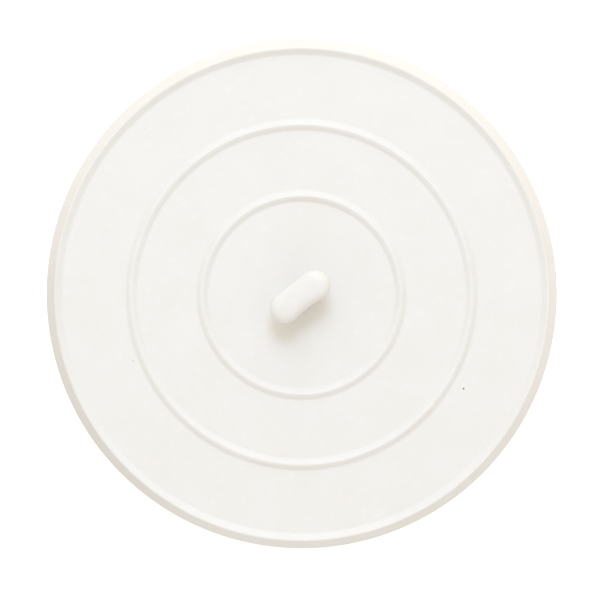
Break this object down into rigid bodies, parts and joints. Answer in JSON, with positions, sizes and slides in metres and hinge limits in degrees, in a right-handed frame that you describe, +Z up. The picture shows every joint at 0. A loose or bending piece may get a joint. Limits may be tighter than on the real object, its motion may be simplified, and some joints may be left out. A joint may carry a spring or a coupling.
{
  "type": "flat sink stopper",
  "caption": "Round flat rubber sink stopper: a thin disc with a bevelled rim and raised concentric rings, lifted by a small flexible bean-shaped finger grip at its centre.",
  "frame": {"origin": "centre of the disc's underside, on the plane that seals against the sink", "axes": "+Z up through the grip, +X along the grip's length, and the grip's slightly hollow side faces -Y"},
  "size_m": [0.127, 0.127, 0.0149],
  "materials": {
    "disc_rubber": "matte",
    "grip_rubber": "satin"
  },
  "bodies": {
    "disc": {"sealing_disc": "disc_rubber", "grip_stem": "grip_rubber"},
    "grip": {"grip_head": "grip_rubber"}
  },
  "joints": [
    {"name": "grip_flex", "type": "hinge", "parent": "disc", "child": "grip", "pos_m": [0, 0, 0.0055], "axis": [1, 0, 0], "range_deg": [-30, 30], "stiffness_Nm_per_rad": 0.035}
  ]
}
